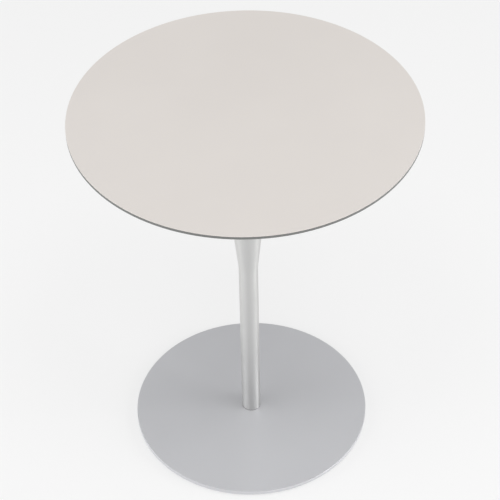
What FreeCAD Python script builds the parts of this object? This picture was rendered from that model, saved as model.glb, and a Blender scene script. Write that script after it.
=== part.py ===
"""Round pedestal table: a thin laminate top on a steel column that opens into a cone, on a flat disc base.

Every sub-part is modelled about its own axis with its lowest point near z = 0 and is then placed by its
Placement. The row frame has +Z up, its origin on the floor under the column, and all lengths in millimetres.
A tie rod inside the column clamps base plate, column and top plate together. The top is screwed to the top
plate from below. Four levelling feet screw into the base plate.
"""
import FreeCAD, Part

import math
import os

import Sketcher

DIMENSIONS = {
    # whole table
    "overall_height": 725.0,
    "top_diameter": 600.0,
    "base_diameter": 440.0,
    # table top
    "top_thickness": 12.0,
    "edge_height": 5.6,
    "bevel_width": 15.0,
    "decor_thickness": 0.6,
    "backing_thickness": 0.6,
    "decor_arris": 0.25,
    # base plate
    "base_thickness": 8.0,
    "base_arris": 0.8,
    "floor_gap": 6.0,
    "recess_diameter": 32.0,
    "recess_depth": 4.5,
    # column
    "tube_diameter": 35.0,
    "wall": 2.0,
    "cone_start": 364.0,
    "cone_mouth_diameter": 98.4,
    "bend_radius": 120.0,
    "gasket_thickness": 0.8,
    "gasket_inset": 0.3,
    "spigot_height": 14.0,
    "spigot_play": 0.05,
    # anti-rotation pin
    "pin_diameter": 5.0,
    "pin_length": 12.0,
    "pin_offset": 9.5,
    "pin_play": 0.025,
    # tie rod, M10
    "rod_diameter": 10.0,
    "rod_play": 0.05,
    "rod_hole_diameter": 10.6,
    "rod_pitch": 1.5,
    "rod_end_gap": 2.2,
    "rod_washer_diameter": 24.0,
    "rod_washer_thickness": 1.5,
    "rod_nut_width": 16.0,
    "rod_nut_height": 6.3,
    "rod_nut_flange_diameter": 21.0,
    "rod_nut_flange_height": 1.8,
    "rod_nut_flange_chamfer": 0.6,
    # top plate and what is welded under it
    "plate_diameter": 240.0,
    "plate_thickness": 5.0,
    "plate_chamfer": 2.5,
    "weld_nut_width": 17.0,
    "weld_nut_height": 12.0,
    "ring_outer_diameter": 92.0,
    "ring_inner_diameter": 82.0,
    "ring_height": 8.0,
    # screws that hold the top, M6
    "screw_count": 6.0,
    "screw_circle": 200.0,
    "screw_diameter": 6.0,
    "screw_hole_diameter": 6.6,
    "screw_play": 0.05,
    "screw_length": 12.0,
    "screw_pitch": 1.0,
    "screw_head_diameter": 10.5,
    "screw_head_height": 3.3,
    "screw_head_flat": 5.3,
    "screw_head_rim": 0.6,
    "screw_dome_radius": 3.6,
    "screw_socket_width": 4.0,
    "screw_socket_depth": 2.0,
    "washer_diameter": 12.0,
    "washer_thickness": 1.2,
    "washer_chamfer": 0.3,
    "insert_diameter": 9.0,
    "insert_height": 8.0,
    "insert_groove_bottom": 2.8,
    "insert_groove_top": 4.8,
    "insert_barb": 0.6,
    "insert_hole_depth": 8.4,
    "backing_hole_diameter": 9.6,
    # levelling feet, M8
    "foot_count": 4.0,
    "foot_circle": 380.0,
    "foot_first_angle": 45.0,
    "foot_thread_diameter": 8.0,
    "foot_thread_play": 0.05,
    "foot_pitch": 1.25,
    "foot_hole_depth": 6.6,
    "pad_diameter": 26.0,
    "pad_height": 3.7,
    "pad_floor": 1.1,
    "pad_lip": 1.2,
    "pad_round": 0.8,
    "pocket_play": 0.2,
    "button_diameter": 12.0,
    "neck_diameter": 7.0,
    "foot_hex_width": 14.0,
    "foot_hex_height": 2.0,
    "foot_stop_gap": 0.1,
}

# how many ridges each threaded end has
ROD_TURNS = 10
FOOT_TURNS = 4

# a thread's ridges, as shares of the pitch: their depth, and where the crest starts and ends
RIDGE_DEPTH = 0.55
CREST_START = 0.42
CREST_END = 0.58

doc = FreeCAD.newDocument("round_pedestal_table")
sheet = doc.addObject("Spreadsheet::Sheet", "dim")
exported = []


def fill_sheet():
    """Writes one driving dimension to a row: its name, and its number under an alias of that name."""
    for row, (alias, number) in enumerate(DIMENSIONS.items(), start=1):
        sheet.set(f"A{row}", alias)
        sheet.set(f"B{row}", str(number))
        sheet.setAlias(f"B{row}", alias)
    doc.recompute()


def value(expression):
    """The number that an expression of the sheet's aliases stands for now."""
    return float(sheet.evalExpression(expression))


def origin_feature(body, role):
    return next(f for f in body.Origin.OriginFeatures if f.Role == role)


def new_body(label, x="0", y="0", z="0"):
    """An empty body that is placed at (x, y, z), each an expression."""
    body = doc.addObject("PartDesign::Body", label)
    body.Label = label
    body.AllowCompound = True
    for axis, expression in (("x", x), ("y", y), ("z", z)):
        if expression != "0":
            body.setExpression(f"Placement.Base.{axis}", expression)
    exported.append(body)
    return body


def hold(sketch, geometry, position, x, y):
    """Fixes a point of the sketch at (x, y), each an expression, measured from the sketch's origin."""
    for kind, axis, expression in (("DistanceX", -2, x), ("DistanceY", -1, y)):
        if expression == "0":
            sketch.addConstraint(Sketcher.Constraint("PointOnObject", geometry, position, axis))
            continue
        rule = Sketcher.Constraint(kind, -1, 1, geometry, position, value(expression))
        index = sketch.addConstraint(rule)
        sketch.setExpression(f"Constraints[{index}]", expression)


def new_sketch(body, suffix, plane, lift="0"):
    """A sketch on one of the body's origin planes, moved along that plane's normal by an expression."""
    sketch = body.newObject("Sketcher::SketchObject", f"{body.Name}_{suffix}")
    sketch.AttachmentSupport = [(origin_feature(body, plane), "")]
    sketch.MapMode = "FlatFace"
    if lift != "0":
        sketch.setExpression("AttachmentOffset.Base.z", lift)
    return sketch


def arc_between(start, end, radius):
    """Arc from start to end. Its centre is on the right of that direction, or on the left if radius < 0."""
    chord = end - start
    right = FreeCAD.Vector(chord.y, -chord.x, 0).normalize()
    rise = abs(radius) - math.sqrt(radius**2 - (chord.Length / 2) ** 2)
    middle = (start + end) / 2 - right * math.copysign(rise, radius)
    return Part.Arc(start, middle, end)


def outline(sketch, corners):
    """A closed outline through corners, each a pair of expressions.

    A corner with a third expression starts an arc of that radius instead of a straight edge.
    """
    points = [FreeCAD.Vector(value(corner[0]), value(corner[1]), 0) for corner in corners]
    count = len(points)
    edges = []
    for i, corner in enumerate(corners):
        ends = points[i], points[(i + 1) % count]
        curve = arc_between(*ends, value(corner[2])) if len(corner) == 3 else Part.LineSegment(*ends)
        edges.append(sketch.addGeometry(curve))
    for i, corner in enumerate(corners):
        # an arc may be stored from its far end to its near one
        before, here = edges[i - 1], edges[i]
        near = [nearest_end(sketch, edge, points[i]) for edge in (before, here)]
        sketch.addConstraint(Sketcher.Constraint("Coincident", before, near[0], here, near[1]))
        hold(sketch, here, near[1], corner[0], corner[1])
    for i, corner in enumerate(corners):
        if len(corner) == 3:
            radius = f"abs({corner[2]})"
            rule = sketch.addConstraint(Sketcher.Constraint("Radius", edges[i], value(radius)))
            sketch.setExpression(f"Constraints[{rule}]", radius)


def nearest_end(sketch, edge, point):
    """Which end of an edge is at a point: 1 for its start, 2 for its end."""
    return min((1, 2), key=lambda end: (sketch.getPoint(edge, end) - point).Length)


def circle(sketch, diameter, x="0", y="0"):
    centre = FreeCAD.Vector(value(x), value(y), 0)
    shape = Part.Circle(centre, FreeCAD.Vector(0, 0, 1), value(diameter) / 2)
    index = sketch.addGeometry(shape)
    rule = sketch.addConstraint(Sketcher.Constraint("Diameter", index, value(diameter)))
    sketch.setExpression(f"Constraints[{rule}]", diameter)
    if x == "0" and y == "0":
        sketch.addConstraint(Sketcher.Constraint("Coincident", index, 3, -1, 1))
    else:
        hold(sketch, index, 3, x, y)


def revolve(body, corners, about="0", kind="PartDesign::Revolution", suffix="profile"):
    """Turns an outline about the vertical line at x = about.

    Its corners are pairs of distance from the body's own axis and height.
    """
    sketch = new_sketch(body, suffix, "XZ_Plane")
    outline(sketch, corners)
    axis = "V_Axis"
    if about != "0":
        foot = FreeCAD.Vector(value(about), 0, 0)
        line = sketch.addGeometry(Part.LineSegment(foot, foot + FreeCAD.Vector(0, 1, 0)), True)
        sketch.addConstraint(Sketcher.Constraint("Vertical", line))
        hold(sketch, line, 1, about, "0")
        sketch.addConstraint(Sketcher.Constraint("Distance", line, 1.0))
        axis = "Axis0"
    feature = body.newObject(kind, f"{body.Name}_{suffix}_turned")
    feature.Profile = sketch
    feature.ReferenceAxis = (sketch, [axis])
    feature.Angle = 360
    doc.recompute()
    return feature


def pad(body, sketch, length):
    feature = body.newObject("PartDesign::Pad", f"{sketch.Name}_pad")
    feature.Profile = sketch
    feature.setExpression("Length", length)
    doc.recompute()
    return feature


def pocket_up(body, sketch, depth):
    """Cuts a sketch upwards from its plane, and stops the script if nothing was cut."""
    before = body.Shape.Volume
    feature = body.newObject("PartDesign::Pocket", f"{sketch.Name}_cut")
    feature.Profile = sketch
    feature.Reversed = True
    feature.setExpression("Length", depth)
    doc.recompute()
    if feature.Shape.Volume >= before:
        raise RuntimeError(f"{feature.Name} cut nothing")
    return feature


def repeat(body, features, count):
    """Repeats features evenly round the body's own vertical axis, count times in all."""
    pattern = body.newObject("PartDesign::PolarPattern", f"{body.Name}_{features[0].Name}_ring")
    pattern.Originals = features
    pattern.Axis = (origin_feature(body, "Z_Axis"), [""])
    pattern.Angle = 360
    pattern.setExpression("Occurrences", count)
    body.Tip = pattern
    doc.recompute()
    return pattern


def ring_edges(feature, radius, height):
    """Names of a feature's circular edges about the vertical axis with that radius and height."""
    found = []
    for number, edge in enumerate(feature.Shape.Edges, start=1):
        curve = edge.Curve
        if not isinstance(curve, Part.Circle):
            continue
        near_radius = abs(curve.Radius - value(radius)) < 1e-3
        if near_radius and abs(curve.Center.z - value(height)) < 1e-3:
            found.append(f"Edge{number}")
    return found


def dress(body, kind, base, rings, size):
    """Fillets or chamfers the ring edges given as (radius, height) expressions by an expression."""
    names = [name for radius, height in rings for name in ring_edges(base, radius, height)]
    if len(names) < len(rings):
        raise RuntimeError(f"{body.Name}: an edge to dress was not found")
    feature = body.newObject(f"PartDesign::{kind}", f"{body.Name}_{kind}_{len(body.Group)}")
    feature.Base = (base, names)
    feature.setExpression("Radius" if kind == "Fillet" else "Size", size)
    doc.recompute()
    return feature


def hexagon(width):
    """Corners of a hexagon with two flats parallel to X, for a width across flats."""
    long = f"({width}) / sqrt(3)"
    short = f"({width}) / (2 * sqrt(3))"
    flat = f"({width}) / 2"
    return [
        (long, "0"),
        (short, flat),
        (f"-{short}", flat),
        (f"-{long}", "0"),
        (f"-{short}", f"-{flat}"),
        (short, f"-{flat}"),
    ]


def thread_outline(diameter, pitch, bottom, top, turns):
    """Outer corners of a ridged shank, from its lowest ridge to its highest, with plain ends above and below.

    The ridges are rings one pitch apart, as deep as an ISO thread's flank allows, under the diameter.
    """
    crest = f"({diameter}) / 2"
    root = f"({diameter}) / 2 - {RIDGE_DEPTH} * {pitch}"
    corners = [(root, bottom)]
    for turn in range(turns):
        start = f"{bottom} + {turn} * {pitch}"
        corners += [
            (crest, f"{start} + {CREST_START} * {pitch}"),
            (crest, f"{start} + {CREST_END} * {pitch}"),
            (root, f"{start} + {pitch}"),
        ]
    corners += [(root, top)]
    return corners


# Levels above the floor, as expressions.
BASE_TOP = "dim.floor_gap + dim.base_thickness"
PLATE_BOTTOM = "dim.overall_height - dim.top_thickness - dim.plate_thickness"
TOP_BOTTOM = "dim.overall_height - dim.top_thickness"
COLUMN_BOTTOM = f"{BASE_TOP} + dim.gasket_thickness"
RECESS_TOP = "dim.floor_gap + dim.recess_depth"


def base_plate():
    """Flat steel disc with a recess under its centre for the rod's nut, and blind holes for the feet."""
    body = new_body("base_plate", z="dim.floor_gap")
    bore, recess, rim = "dim.rod_hole_diameter / 2", "dim.recess_diameter / 2", "dim.base_diameter / 2"
    disc = revolve(
        body,
        [
            (bore, "dim.recess_depth"),
            (recess, "dim.recess_depth"),
            (recess, "0"),
            (rim, "0"),
            (rim, "dim.base_thickness"),
            (bore, "dim.base_thickness"),
        ],
    )
    disc = dress(body, "Fillet", disc, [(rim, "dim.base_thickness"), (rim, "0")], "dim.base_arris")
    pin_hole = new_sketch(body, "pin_hole", "XY_Plane")
    circle(pin_hole, "dim.pin_diameter + 2 * dim.pin_play", x="dim.pin_offset")
    pocket_up(body, pin_hole, "dim.base_thickness + 1")
    foot_hole = new_sketch(body, "foot_hole", "XY_Plane")
    reach = "dim.foot_circle / 2 * cos(dim.foot_first_angle * 1deg)"
    rise = "dim.foot_circle / 2 * sin(dim.foot_first_angle * 1deg)"
    circle(foot_hole, "dim.foot_thread_diameter + 2 * dim.foot_thread_play", x=reach, y=rise)
    repeat(body, [pocket_up(body, foot_hole, "dim.foot_hole_depth")], "dim.foot_count")


def column_gasket():
    """Thin ring between the column's foot and the base plate."""
    body = new_body("column_gasket", z=BASE_TOP)
    outer, inner = "dim.tube_diameter / 2 - dim.gasket_inset", "dim.tube_diameter / 2 - dim.wall"
    revolve(
        body,
        [
            (inner, "0"),
            (outer, "0"),
            (outer, "dim.gasket_thickness"),
            (inner, "dim.gasket_thickness"),
        ],
    )


def column_spigot():
    """Turned disc that sits on the base plate inside the column's foot and keeps the column central."""
    body = new_body("column_spigot", z=BASE_TOP)
    outer = "dim.tube_diameter / 2 - dim.wall - dim.spigot_play"
    bore = "dim.rod_hole_diameter / 2"
    disc = revolve(
        body,
        [(bore, "0"), (outer, "0"), (outer, "dim.spigot_height"), (bore, "dim.spigot_height")],
    )
    dress(body, "Chamfer", disc, [(outer, "dim.spigot_height")], "dim.wall / 2")
    pin_hole = new_sketch(body, "pin_hole", "XY_Plane")
    circle(pin_hole, "dim.pin_diameter + 2 * dim.pin_play", x="dim.pin_offset")
    pocket_up(body, pin_hole, "dim.pin_length")


def spigot_pin():
    """Pin through the base plate's web into the spigot, which stops the spigot from turning."""
    body = new_body("spigot_pin", x="dim.pin_offset", z=RECESS_TOP)
    radius = "dim.pin_diameter / 2"
    rod = revolve(
        body,
        [("0", "0"), (radius, "0"), (radius, "dim.pin_length"), ("0", "dim.pin_length")],
    )
    dress(body, "Chamfer", rod, [(radius, "0"), (radius, "dim.pin_length")], "dim.pin_diameter / 10")


def column_shell():
    """Steel tube that opens into a long cone, in one piece of even wall, with a soft bend between the two."""
    body = new_body("column_shell", z=COLUMN_BOTTOM)
    foot, mouth = "dim.tube_diameter / 2", "dim.cone_mouth_diameter / 2"
    corner = "dim.cone_start - dim.gasket_thickness"
    height = f"{PLATE_BOTTOM} - ({COLUMN_BOTTOM})"
    tilt = f"atan(({mouth} - {foot}) / ({height} - ({corner})))"
    # the bend's centre is level with its lower end, outside the column
    centre_x = f"({foot} + dim.bend_radius)"
    centre_z = f"({corner} - dim.bend_radius * tan({tilt} / 2))"
    inner_bend = "(dim.bend_radius + dim.wall)"
    outer_end = f"{centre_x} - dim.bend_radius * cos({tilt})", f"{centre_z} + dim.bend_radius * sin({tilt})"
    inner_end = f"{centre_x} - {inner_bend} * cos({tilt})", f"{centre_z} + {inner_bend} * sin({tilt})"
    revolve(
        body,
        [
            (f"{foot} - dim.wall", "0"),
            (foot, "0"),
            (foot, centre_z, "dim.bend_radius"),
            outer_end,
            (mouth, height),
            (f"{mouth} - dim.wall / cos({tilt})", height),
            (*inner_end, f"-{inner_bend}"),
            (f"{foot} - dim.wall", centre_z),
        ],
    )


def tie_rod():
    """M10 rod along the column's axis, with threads at both ends, that draws base and top plate together."""
    body = new_body("tie_rod", z="dim.rod_end_gap")
    lower_end = f"{ROD_TURNS} * dim.rod_pitch"
    length = f"{PLATE_BOTTOM} - dim.rod_end_gap"
    upper_start = f"{length} - {ROD_TURNS} * dim.rod_pitch"
    lower = thread_outline("dim.rod_diameter", "dim.rod_pitch", "0", lower_end, ROD_TURNS)
    upper = thread_outline("dim.rod_diameter", "dim.rod_pitch", upper_start, length, ROD_TURNS)
    shank = "dim.rod_diameter / 2"
    plain = [(shank, f"{lower_end} + 1"), (shank, f"{upper_start} - 1")]
    corners = [("0", "0")] + lower[:-1] + plain
    revolve(body, corners + upper[:-1] + [("0", length)])


def tie_rod_washer():
    body = new_body("tie_rod_washer", z=f"{RECESS_TOP} - dim.rod_washer_thickness")
    outer, bore = "dim.rod_washer_diameter / 2", "dim.rod_hole_diameter / 2"
    disc = revolve(
        body,
        [
            (bore, "0"),
            (outer, "0"),
            (outer, "dim.rod_washer_thickness"),
            (bore, "dim.rod_washer_thickness"),
        ],
    )
    dress(body, "Chamfer", disc, [(outer, "0")], "dim.rod_washer_thickness / 5")


def tie_rod_nut():
    """Low flanged M10 nut in the base plate's recess. Its corners are turned off at the free end."""
    top = f"{RECESS_TOP} - dim.rod_washer_thickness"
    body = new_body("tie_rod_nut", z=f"{top} - dim.rod_nut_height")
    bore = "dim.rod_diameter / 2 + dim.rod_play"
    faces = new_sketch(body, "hexagon", "XY_Plane")
    outline(faces, hexagon("dim.rod_nut_width"))
    circle(faces, f"2 * ({bore})")
    pad(body, faces, "dim.rod_nut_height")
    flange = "dim.rod_nut_flange_diameter / 2"
    flange_bottom = "dim.rod_nut_height - dim.rod_nut_flange_height"
    revolve(
        body,
        [
            (bore, flange_bottom),
            (f"{flange} - dim.rod_nut_flange_chamfer", flange_bottom),
            (flange, f"{flange_bottom} + dim.rod_nut_flange_chamfer"),
            (flange, "dim.rod_nut_height"),
            (bore, "dim.rod_nut_height"),
        ],
        suffix="flange",
    )
    turn_off_corners(body, "dim.rod_nut_width", "0")


def turn_off_corners(body, width, level):
    """Grooves a 30 degree chamfer round a hexagon's corners, upwards from its lower face at a level.

    It starts just inside the flats and runs out past the corners.
    """
    inner, outer = f"0.485 * ({width})", f"0.62 * ({width})"
    depth = f"(({outer}) - ({inner})) * tan(30deg)"
    revolve(
        body,
        [(inner, level), (outer, level), (outer, f"{level} + {depth}")],
        kind="PartDesign::Groove",
        suffix="corner_chamfer",
    )


def top_plate():
    """Steel disc on the cone's mouth that carries the top, with screw holes and a chamfered lower rim."""
    body = new_body("top_plate", z=PLATE_BOTTOM)
    rim, bore = "dim.plate_diameter / 2", "dim.rod_hole_diameter / 2"
    disc = revolve(
        body,
        [(bore, "0"), (rim, "0"), (rim, "dim.plate_thickness"), (bore, "dim.plate_thickness")],
    )
    dress(body, "Chamfer", disc, [(rim, "0")], "dim.plate_chamfer")
    hole = new_sketch(body, "screw_hole", "XY_Plane")
    circle(hole, "dim.screw_hole_diameter", x="dim.screw_circle / 2")
    repeat(body, [pocket_up(body, hole, "dim.plate_thickness + 1")], "dim.screw_count")


def weld_nut():
    """Long hexagon welded under the top plate inside the cone, tapped for the tie rod's upper end."""
    body = new_body("weld_nut", z=f"{PLATE_BOTTOM} - dim.weld_nut_height")
    faces = new_sketch(body, "hexagon", "XY_Plane")
    outline(faces, hexagon("dim.weld_nut_width"))
    circle(faces, "dim.rod_diameter + 2 * dim.rod_play")
    pad(body, faces, "dim.weld_nut_height")
    turn_off_corners(body, "dim.weld_nut_width", "0")


def centering_ring():
    """Ring welded under the top plate that drops into the cone's mouth."""
    body = new_body("centering_ring", z=f"{PLATE_BOTTOM} - dim.ring_height")
    outer, inner = "dim.ring_outer_diameter / 2", "dim.ring_inner_diameter / 2"
    ring = revolve(
        body,
        [(inner, "0"), (outer, "0"), (outer, "dim.ring_height"), (inner, "dim.ring_height")],
    )
    dress(body, "Chamfer", ring, [(outer, "0")], "dim.ring_height / 8")


def top_screws():
    """Button-head M6 screws with hexagon sockets, heads down, each about its own axis on the screw circle."""
    body = new_body("top_screws", z=f"{PLATE_BOTTOM} - dim.washer_thickness - dim.screw_head_height")
    centre, head = "dim.screw_circle / 2", "dim.screw_head_diameter / 2"
    turns = int(DIMENSIONS["screw_length"] / DIMENSIONS["screw_pitch"])
    shank_top = "dim.screw_head_height + dim.screw_length"
    shank = thread_outline(
        "dim.screw_diameter", "dim.screw_pitch", "dim.screw_head_height", shank_top, turns
    )
    dome = [
        ("dim.screw_head_flat / 2", "0", "-dim.screw_dome_radius"),
        (head, "dim.screw_head_height - dim.screw_head_rim"),
        (head, "dim.screw_head_height"),
    ]
    corners = [("0", "0")] + dome + shank[:-1] + [("0", shank_top)]
    moved_out = [(f"{centre} + {x}", y, *radius) for x, y, *radius in corners]
    screw = revolve(body, moved_out, about=centre)
    socket = new_sketch(body, "socket", "XY_Plane")
    shifted = [(f"{centre} + {x}", y) for x, y in hexagon("dim.screw_socket_width")]
    outline(socket, shifted)
    repeat(body, [screw, pocket_up(body, socket, "dim.screw_socket_depth")], "dim.screw_count")


def top_screw_washers():
    body = new_body("top_screw_washers", z=f"{PLATE_BOTTOM} - dim.washer_thickness")
    centre = "dim.screw_circle / 2"
    outer, bore = f"{centre} + dim.washer_diameter / 2", f"{centre} + dim.screw_hole_diameter / 2"
    disc = revolve(
        body,
        [
            (bore, "0"),
            (f"{outer} - dim.washer_chamfer", "0"),
            (outer, "dim.washer_chamfer"),
            (outer, "dim.washer_thickness"),
            (bore, "dim.washer_thickness"),
        ],
        about=centre,
    )
    repeat(body, [disc], "dim.screw_count")


def threaded_inserts():
    """Brass inserts pressed into the top from below. A groove parts each one's two barbed rings."""
    body = new_body("threaded_inserts", z=TOP_BOTTOM)
    centre = "dim.screw_circle / 2"
    bore = f"{centre} + dim.screw_diameter / 2 + dim.screw_play"
    outer = f"{centre} + dim.insert_diameter / 2"
    waist = f"{outer} - dim.insert_barb"
    ring = revolve(
        body,
        [
            (bore, "0"),
            (outer, "0"),
            (outer, "dim.insert_groove_bottom"),
            (waist, "dim.insert_groove_bottom + dim.insert_barb"),
            (waist, "dim.insert_groove_top - dim.insert_barb"),
            (outer, "dim.insert_groove_top"),
            (outer, "dim.insert_height - dim.insert_barb"),
            (waist, "dim.insert_height"),
            (bore, "dim.insert_height"),
        ],
        about=centre,
    )
    repeat(body, [ring], "dim.screw_count")


def bevel_radius(height):
    """Radius of the bevelled underside at a height above the top's lowest face, both as expressions."""
    slope = "dim.bevel_width / (dim.top_thickness - dim.edge_height)"
    return f"dim.top_diameter / 2 - dim.bevel_width + ({height}) * {slope}"


def tabletop_core():
    """Dense laminate core: an upright rim above, a shallow bevel below, and blind holes for the inserts."""
    body = new_body("tabletop_core", z=f"{TOP_BOTTOM} + dim.backing_thickness")
    rim = "dim.top_diameter / 2"
    height = "dim.top_thickness - dim.decor_thickness - dim.backing_thickness"
    bevel_top = "dim.top_thickness - dim.edge_height - dim.backing_thickness"
    revolve(
        body,
        [
            ("0", "0"),
            (bevel_radius("dim.backing_thickness"), "0"),
            (rim, bevel_top),
            (rim, height),
            ("0", height),
        ],
    )
    hole = new_sketch(body, "insert_hole", "XY_Plane")
    circle(hole, "dim.insert_diameter", x="dim.screw_circle / 2")
    cut = pocket_up(body, hole, "dim.insert_hole_depth - dim.backing_thickness")
    repeat(body, [cut], "dim.screw_count")


def decor_sheet():
    """Thin decorative sheet that is the top's upper face, its arris eased."""
    body = new_body("decor_sheet", z="dim.overall_height - dim.decor_thickness")
    rim = "dim.top_diameter / 2"
    disc = revolve(
        body,
        [("0", "0"), (rim, "0"), (rim, "dim.decor_thickness"), ("0", "dim.decor_thickness")],
    )
    dress(body, "Fillet", disc, [(rim, "dim.decor_thickness")], "dim.decor_arris")


def backing_sheet():
    """Thin balancing sheet under the core, open where the inserts go in."""
    body = new_body("backing_sheet", z=TOP_BOTTOM)
    revolve(
        body,
        [
            ("0", "0"),
            (bevel_radius("0"), "0"),
            (bevel_radius("dim.backing_thickness"), "dim.backing_thickness"),
            ("0", "dim.backing_thickness"),
        ],
    )
    hole = new_sketch(body, "insert_hole", "XY_Plane")
    circle(hole, "dim.backing_hole_diameter", x="dim.screw_circle / 2")
    repeat(body, [pocket_up(body, hole, "dim.backing_thickness + 1")], "dim.screw_count")


def foot_place(number):
    """Where a foot's axis stands, as expressions. Feet are numbered anticlockwise from the first angle."""
    angle = f"(dim.foot_first_angle + {number - 1} * 360 / dim.foot_count) * 1deg"
    return f"dim.foot_circle / 2 * cos({angle})", f"dim.foot_circle / 2 * sin({angle})"


def foot_pad(number):
    """Nylon pad that stands on the floor. A lip inside it holds the foot screw's button."""
    x, y = foot_place(number)
    body = new_body(f"foot_pad_{number}", x=x, y=y)
    outer = "dim.pad_diameter / 2"
    pocket = "dim.button_diameter / 2 + dim.pocket_play"
    throat = "dim.neck_diameter / 2 + dim.pocket_play"
    lip_bottom = "dim.pad_height - dim.pad_lip"
    body_of_pad = revolve(
        body,
        [
            ("0", "0"),
            (outer, "0"),
            (outer, "dim.pad_height"),
            (throat, "dim.pad_height"),
            (throat, lip_bottom),
            (pocket, lip_bottom),
            (pocket, "dim.pad_floor"),
            ("0", "dim.pad_floor"),
        ],
    )
    dress(body, "Fillet", body_of_pad, [(outer, "0"), (outer, "dim.pad_height")], "dim.pad_round")


def foot_screw(number):
    """M8 levelling screw: a button held in the pad, a neck, a hexagon to turn it by, and a threaded shank."""
    x, y = foot_place(number)
    body = new_body(f"foot_screw_{number}", x=x, y=y)
    hex_top = "dim.floor_gap - dim.foot_stop_gap"
    hex_bottom = f"{hex_top} - dim.foot_hex_height"
    button_bottom = "dim.pad_floor + dim.pocket_play / 2"
    button_top = "dim.pad_height - dim.pad_lip - dim.pocket_play / 2"
    shank_top = f"dim.floor_gap + {FOOT_TURNS} * dim.foot_pitch"
    thread = thread_outline(
        "dim.foot_thread_diameter", "dim.foot_pitch", "dim.floor_gap", shank_top, FOOT_TURNS
    )
    button, neck = "dim.button_diameter / 2", "dim.neck_diameter / 2"
    revolve(
        body,
        [
            ("0", button_bottom),
            (button, button_bottom),
            (button, button_top),
            (neck, button_top),
            (neck, f"{hex_bottom} + dim.foot_hex_height / 2"),
        ]
        + thread[:-1]
        + [("0", shank_top)],
    )
    flats = new_sketch(body, "hexagon", "XY_Plane", lift=hex_bottom)
    outline(flats, hexagon("dim.foot_hex_width"))
    pad(body, flats, "dim.foot_hex_height")
    turn_off_corners(body, "dim.foot_hex_width", hex_bottom)


def build():
    fill_sheet()
    base_plate()
    column_gasket()
    column_spigot()
    spigot_pin()
    column_shell()
    tie_rod()
    tie_rod_washer()
    tie_rod_nut()
    top_plate()
    weld_nut()
    centering_ring()
    top_screws()
    top_screw_washers()
    threaded_inserts()
    tabletop_core()
    decor_sheet()
    backing_sheet()
    for number in range(1, int(DIMENSIONS["foot_count"]) + 1):
        foot_pad(number)
        foot_screw(number)
    doc.recompute()


def check():
    """Stops the script if any object failed or any sub-part has no valid solid."""
    for item in doc.Objects:
        if "Invalid" in item.State or "Error" in item.State:
            raise RuntimeError(f"{item.Name} failed: {item.State}")
    for body in exported:
        shape = body.Shape
        if shape.isNull() or not shape.isValid() or not shape.Solids:
            raise RuntimeError(f"{body.Label} has no valid shape")


def write():
    os.makedirs("parts", exist_ok=True)
    for body in exported:
        body.Shape.exportStep(f"parts/{body.Label}.step")
        box = body.Shape.BoundBox
        print(
            f"{body.Label}: {len(body.Shape.Solids)} solid(s), {body.Shape.Volume:.1f} mm3,"
            f" z {box.ZMin:.2f} to {box.ZMax:.2f}, x {box.XMin:.2f} to {box.XMax:.2f}"
        )


build()
check()
write()
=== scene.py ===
"""Looks of the round pedestal table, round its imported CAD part. Metres, +Z up, origin on the floor."""

import math

import bpy
from mathutils import Matrix, Vector


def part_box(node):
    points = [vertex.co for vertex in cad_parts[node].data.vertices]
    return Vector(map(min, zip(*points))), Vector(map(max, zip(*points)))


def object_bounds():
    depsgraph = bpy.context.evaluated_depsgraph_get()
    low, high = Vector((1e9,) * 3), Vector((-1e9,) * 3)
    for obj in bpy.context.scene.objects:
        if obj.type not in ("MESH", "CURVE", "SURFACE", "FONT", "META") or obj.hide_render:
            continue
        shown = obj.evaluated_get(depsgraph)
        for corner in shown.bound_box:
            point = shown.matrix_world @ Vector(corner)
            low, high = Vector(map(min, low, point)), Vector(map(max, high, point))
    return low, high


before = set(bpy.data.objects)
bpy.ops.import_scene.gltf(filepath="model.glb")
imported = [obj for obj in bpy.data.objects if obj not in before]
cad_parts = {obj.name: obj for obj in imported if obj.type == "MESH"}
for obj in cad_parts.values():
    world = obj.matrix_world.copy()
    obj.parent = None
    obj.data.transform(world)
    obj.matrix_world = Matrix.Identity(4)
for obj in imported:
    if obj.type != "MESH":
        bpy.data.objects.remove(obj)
cad_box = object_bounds()

MM = 0.001

# ---------------------------------------------------------------- node helpers

# Nearly all of a noise's values lie between these two.
NOISE_LOW, NOISE_HIGH = 0.3, 0.7


def grey(level):
    return (level, level, level)


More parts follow.
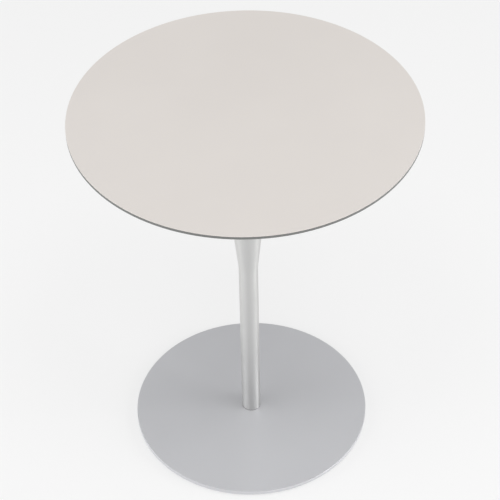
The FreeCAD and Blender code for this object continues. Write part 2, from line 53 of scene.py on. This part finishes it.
class Nodes:
    """Builds one material's node tree, with short names for the nodes it uses often."""

    def __init__(self, name):
        self.material = bpy.data.materials.new(name)
        self.material.use_nodes = True
        self.tree = self.material.node_tree
        self.shader = self.tree.nodes["Principled BSDF"]
        self.place = self.add("ShaderNodeTexCoord").outputs["Object"]

    def add(self, kind, **settings):
        node = self.tree.nodes.new(kind)
        for key, setting in settings.items():
            setattr(node, key, setting)
        return node

    def feed(self, socket, source):
        """Links source to a socket if it is another node's output, and otherwise stores it there."""
        if isinstance(source, bpy.types.NodeSocket):
            self.tree.links.new(source, socket)
        else:
            socket.default_value = source

    def math(self, operation, first, second):
        node = self.add("ShaderNodeMath", operation=operation)
        self.feed(node.inputs[0], first)
        self.feed(node.inputs[1], second)
        return node.outputs[0]

    def mingle(self, first, second, share):
        """Share of the first value and the rest of the second."""
        first_part = self.math("MULTIPLY", first, share)
        second_part = self.math("MULTIPLY", second, 1 - share)
        return self.math("ADD", first_part, second_part)

    def noise(self, scale, detail, roughness, source=None):
        """Noise from 0 to 1 with about `scale` features per metre and `detail` finer octaves."""
        node = self.add("ShaderNodeTexNoise")
        self.feed(node.inputs["Vector"], source or self.place)
        node.inputs["Scale"].default_value = scale
        node.inputs["Detail"].default_value = detail
        node.inputs["Roughness"].default_value = roughness
        return node.outputs["Fac"]

    def drawn_noise(self, scales, detail, roughness):
        """Noise drawn out along an axis: its scales are features per metre along X, Y and Z."""
        stretch = self.add("ShaderNodeMapping")
        self.feed(stretch.inputs["Vector"], self.place)
        stretch.inputs["Scale"].default_value = scales
        return self.noise(1.0, detail, roughness, stretch.outputs[0])

    def ramp(self, source, *stops):
        """A colour ramp of (position, colour) stops."""
        node = self.add("ShaderNodeValToRGB")
        self.feed(node.inputs["Fac"], source)
        elements = node.color_ramp.elements
        while len(elements) < len(stops):
            elements.new(0.5)
        for element, (position, colour) in zip(elements, stops):
            element.position = position
            element.color = (*colour, 1.0)
        return node.outputs["Color"]

    def two_tone(self, source, dark, light, low=NOISE_LOW, high=NOISE_HIGH):
        return self.ramp(source, (low, dark), (high, light))

    def span(self, source, low, high):
        """Maps a noise to low..high."""
        node = self.add("ShaderNodeMapRange")
        for socket, value in zip(node.inputs, (source, NOISE_LOW, NOISE_HIGH, low, high)):
            self.feed(socket, value)
        return node.outputs[0]

    def bump(self, height, depth, under=None):
        """Relief as deep as `depth`, on top of another relief if `under` gives one."""
        node = self.add("ShaderNodeBump")
        node.inputs["Distance"].default_value = depth
        self.feed(node.inputs["Height"], height)
        if under is not None:
            self.feed(node.inputs["Normal"], under)
        return node.outputs["Normal"]

    def set(self, **inputs):
        """Sets the shader's inputs. Underscores in names stand for spaces."""
        for key, source in inputs.items():
            if isinstance(source, tuple):
                source = (*source, 1.0)
            self.feed(self.shader.inputs[key.replace("_", " ")], source)
        return self.material


# ------------------------------------------------------------------- materials


def decor_laminate():
    """Warm light grey laminate: a fine dry grain, faint clouds in the colour, and slight handling marks."""
    n = Nodes("decor_laminate")
    clouds = n.noise(3.0, 3.0, 0.6)
    specks = n.noise(1400.0, 2.0, 0.6)
    grain = n.noise(2200.0, 3.0, 0.55)
    handling = n.noise(14.0, 4.0, 0.6)
    tone = n.mingle(clouds, specks, 0.75)
    return n.set(
        Base_Color=n.two_tone(tone, (0.737, 0.696, 0.663), (0.773, 0.732, 0.697)),
        Roughness=n.span(handling, 0.44, 0.54),
        Normal=n.bump(grain, 0.04 * MM),
    )


def laminate_core():
    """Pressed dark core. Its sawn edge shows thin layers and sanding marks."""
    n = Nodes("laminate_core")
    layers = n.drawn_noise((2.0, 2.0, 3600.0), 3.0, 0.65)
    specks = n.noise(900.0, 2.0, 0.5)
    tone = n.mingle(layers, specks, 0.7)
    return n.set(
        Base_Color=n.two_tone(tone, (0.150, 0.153, 0.148), (0.205, 0.209, 0.203), high=0.72),
        Roughness=n.span(specks, 0.50, 0.64),
        Normal=n.bump(tone, 0.05 * MM),
    )


def backing_laminate():
    """Plain grey sheet with a dry grain and faint clouds."""
    n = Nodes("backing_laminate")
    clouds = n.noise(5.0, 4.0, 0.6)
    grain = n.noise(1500.0, 3.0, 0.6)
    return n.set(
        Base_Color=n.two_tone(clouds, grey(0.27), grey(0.32)),
        Roughness=0.55,
        Normal=n.bump(grain, 0.05 * MM),
    )


def satin_steel():
    """Satin steel: fine streaks along the column, soft smudges, and highlights spread by the streaks."""
    n = Nodes("column_satin_steel")
    streaks = n.drawn_noise((900.0, 900.0, 14.0), 4.0, 0.7)
    smudges = n.noise(9.0, 4.0, 0.6)
    tone = n.mingle(streaks, smudges, 0.5)
    return n.set(
        Base_Color=n.two_tone(tone, (0.655, 0.655, 0.648), (0.70, 0.70, 0.69)),
        Roughness=n.span(tone, 0.32, 0.40),
        Metallic=1.0,
        Normal=n.bump(streaks, 0.015 * MM),
        Anisotropic=0.85,
        Anisotropic_Rotation=0.25,
        Tangent=n.add("ShaderNodeTangent", direction_type="RADIAL", axis="Z").outputs[0],
    )


def coated_steel(name, dark, light):
    """Silver-grey powder coat with tiny metallic flakes and a soft skin."""
    n = Nodes(name)
    flakes = n.noise(2600.0, 2.0, 0.6)
    clouds = n.noise(4.0, 3.0, 0.55)
    skin = n.noise(700.0, 2.0, 0.5)
    smudges = n.noise(20.0, 4.0, 0.6)
    tone = n.mingle(flakes, clouds, 0.35)
    return n.set(
        Base_Color=n.two_tone(tone, dark, light),
        Roughness=n.span(smudges, 0.40, 0.48),
        Metallic=0.35,
        Normal=n.bump(flakes, 0.01 * MM, under=n.bump(skin, 0.02 * MM)),
    )


def zinc_plate():
    """Bright zinc on fasteners: cloudy, with a faint bluish and straw cast."""
    n = Nodes("zinc_plate")
    cast = n.noise(160.0, 4.0, 0.6)
    smudges = n.noise(400.0, 3.0, 0.6)
    bluish, plain, straw = (0.50, 0.53, 0.57), (0.62, 0.62, 0.60), (0.66, 0.63, 0.54)
    return n.set(
        Base_Color=n.ramp(cast, (0.25, bluish), (0.50, plain), (0.75, straw)),
        Roughness=n.span(smudges, 0.26, 0.40),
        Metallic=1.0,
        Normal=n.bump(cast, 0.02 * MM),
    )


def turned_brass():
    """Brass with the fine rings that turning leaves."""
    n = Nodes("turned_brass")
    rings = n.drawn_noise((60.0, 60.0, 4000.0), 2.0, 0.6)
    return n.set(
        Base_Color=n.two_tone(rings, (0.55, 0.39, 0.16), (0.70, 0.52, 0.24)),
        Roughness=0.30,
        Metallic=1.0,
        Normal=n.bump(rings, 0.02 * MM),
    )


def dusty_black(name, roughness):
    """Black rubber or nylon with a little dust in its grain."""
    n = Nodes(name)
    dust = n.noise(900.0, 4.0, 0.65)
    return n.set(
        Base_Color=n.two_tone(dust, grey(0.018), grey(0.045), low=0.35, high=0.75),
        Roughness=roughness,
        Normal=n.bump(dust, 0.04 * MM),
    )


def looks():
    """Each CAD node's material."""
    plate_coat = coated_steel("plate_silver_coat", (0.46, 0.46, 0.47), (0.50, 0.50, 0.51))
    zinc = zinc_plate()
    nylon = dusty_black("black_nylon", 0.48)
    materials = {
        "decor_sheet": decor_laminate(),
        "tabletop_core": laminate_core(),
        "backing_sheet": backing_laminate(),
        "threaded_inserts": turned_brass(),
        "top_screws": zinc,
        "top_screw_washers": zinc,
        "top_plate": plate_coat,
        "centering_ring": plate_coat,
        "weld_nut": zinc,
        "column_shell": satin_steel(),
        "column_gasket": dusty_black("black_rubber", 0.75),
        "column_spigot": zinc,
        "spigot_pin": zinc,
        "tie_rod": zinc,
        "tie_rod_washer": zinc,
        "tie_rod_nut": zinc,
        "base_plate": coated_steel("base_silver_coat", (0.608, 0.612, 0.634), (0.642, 0.646, 0.668)),
    }
    for number in (1, 2, 3, 4):
        materials[f"foot_pad_{number}"] = nylon
        materials[f"foot_screw_{number}"] = zinc
    return materials


for name, material in looks().items():
    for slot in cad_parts[name].material_slots:
        slot.material = material

# --------------------------------------------------------------- floor and light

FLOOR_RADIUS = 12.0
FLOOR_SIDES = 96
FLOOR_LEVEL = -0.5 * MM
FLOOR_GLOW = 0.645
SKY_LEVEL = 0.50

# Width and height in metres. The overhead panels are large and far off, to light the top evenly.
SIDE_PANEL, OVERHEAD_PANEL = (1.8, 2.2), (2.4, 2.4)
# Name, azimuth and elevation in degrees, distance in metres, size, and power in watts.
PANELS = (
    ("panel_left_rear", -105.0, 20.0, 3.5, SIDE_PANEL, 11.0),
    ("panel_left", -75.0, 20.0, 3.5, SIDE_PANEL, 30.0),
    ("panel_left_front", -45.0, 20.0, 3.5, SIDE_PANEL, 16.0),
    ("panel_right_front", 45.0, 20.0, 3.5, SIDE_PANEL, 11.0),
    ("panel_right", 75.0, 20.0, 3.5, SIDE_PANEL, 50.0),
    ("panel_right_rear", 105.0, 20.0, 3.5, SIDE_PANEL, 8.0),
    ("panel_over_left", -40.0, 68.0, 8.0, OVERHEAD_PANEL, 60.0),
    ("panel_over_right", 40.0, 68.0, 8.0, OVERHEAD_PANEL, 76.0),
)


def floor():
    """Round pale floor. Part of its brightness is its own, as of a lit studio sweep."""
    angles = [2 * math.pi * side / FLOOR_SIDES for side in range(FLOOR_SIDES)]
    rim = [(FLOOR_RADIUS * math.cos(a), FLOOR_RADIUS * math.sin(a), FLOOR_LEVEL) for a in angles]
    mesh = bpy.data.meshes.new("studio_floor")
    mesh.from_pydata(rim, [], [tuple(range(FLOOR_SIDES))])
    n = Nodes("studio_floor")
    clouds = n.noise(0.7, 2.0, 0.5)
    n.set(
        Base_Color=n.two_tone(clouds, grey(0.268), grey(0.278)),
        Roughness=0.9,
        Specular_IOR_Level=0.1,
        Emission_Color=grey(1.0),
        Emission_Strength=FLOOR_GLOW,
    )
    mesh.materials.append(n.material)
    piece = bpy.data.objects.new("studio_floor", mesh)
    bpy.context.scene.collection.objects.link(piece)


def sky():
    """Even white light from all round."""
    world = bpy.data.worlds.new("studio")
    world.use_nodes = True
    background = world.node_tree.nodes["Background"]
    background.inputs["Color"].default_value = (*grey(1.0), 1.0)
    background.inputs["Strength"].default_value = SKY_LEVEL
    bpy.context.scene.world = world


def soft_panel(name, azimuth, elevation, distance, size, power):
    """Area light that looks at the table's middle. Azimuth 0 is in front of the table, 90 on its right."""
    middle = (cad_box[0] + cad_box[1]) / 2
    around, height = math.radians(azimuth), math.radians(elevation)
    outward = Vector(
        (
            math.sin(around) * math.cos(height),
            -math.cos(around) * math.cos(height),
            math.sin(height),
        )
    )
    data = bpy.data.lights.new(name, "AREA")
    data.shape = "RECTANGLE"
    data.size, data.size_y = size
    data.energy = power
    light = bpy.data.objects.new(name, data)
    light.location = middle + outward * distance
    light.rotation_euler = (-outward).to_track_quat("-Z", "Y").to_euler()
    light.visible_camera = False
    bpy.context.scene.collection.objects.link(light)


floor()
sky()
for panel in PANELS:
    soft_panel(*panel)

# ----------------------------------------------------------------------- camera

# Sensor width and focal length in millimetres, places in metres.
SENSOR, LENS = 36.0, 132.984
CAMERA_BACK = 2.412
CAMERA_OVER_BASE = 2.644
PAN, TILT, ROLL = math.radians(0.085), math.radians(42.875), math.radians(-1.19)


def camera():
    """The camera stands in front of the table and looks down at it, a little rolled."""
    ahead = Vector(
        (math.sin(PAN) * math.cos(TILT), math.cos(PAN) * math.cos(TILT), -math.sin(TILT))
    )
    right = Vector((math.cos(PAN), -math.sin(PAN), 0.0))
    up = right.cross(ahead)
    rolled_right = right * math.cos(ROLL) + up * math.sin(ROLL)
    rolled_up = up * math.cos(ROLL) - right * math.sin(ROLL)
    turn = Matrix((rolled_right, rolled_up, -ahead)).transposed().to_4x4()
    base_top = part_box("base_plate")[1].z
    place = Matrix.Translation((0.0, -CAMERA_BACK, base_top + CAMERA_OVER_BASE))
    data = bpy.data.cameras.new("camera")
    data.sensor_width = SENSOR
    data.lens = LENS
    data.dof.use_dof = False
    piece = bpy.data.objects.new("camera", data)
    piece.matrix_world = place @ turn
    bpy.context.scene.collection.objects.link(piece)
    bpy.context.scene.camera = piece


camera()
bpy.context.scene.view_settings.view_transform = "Standard"
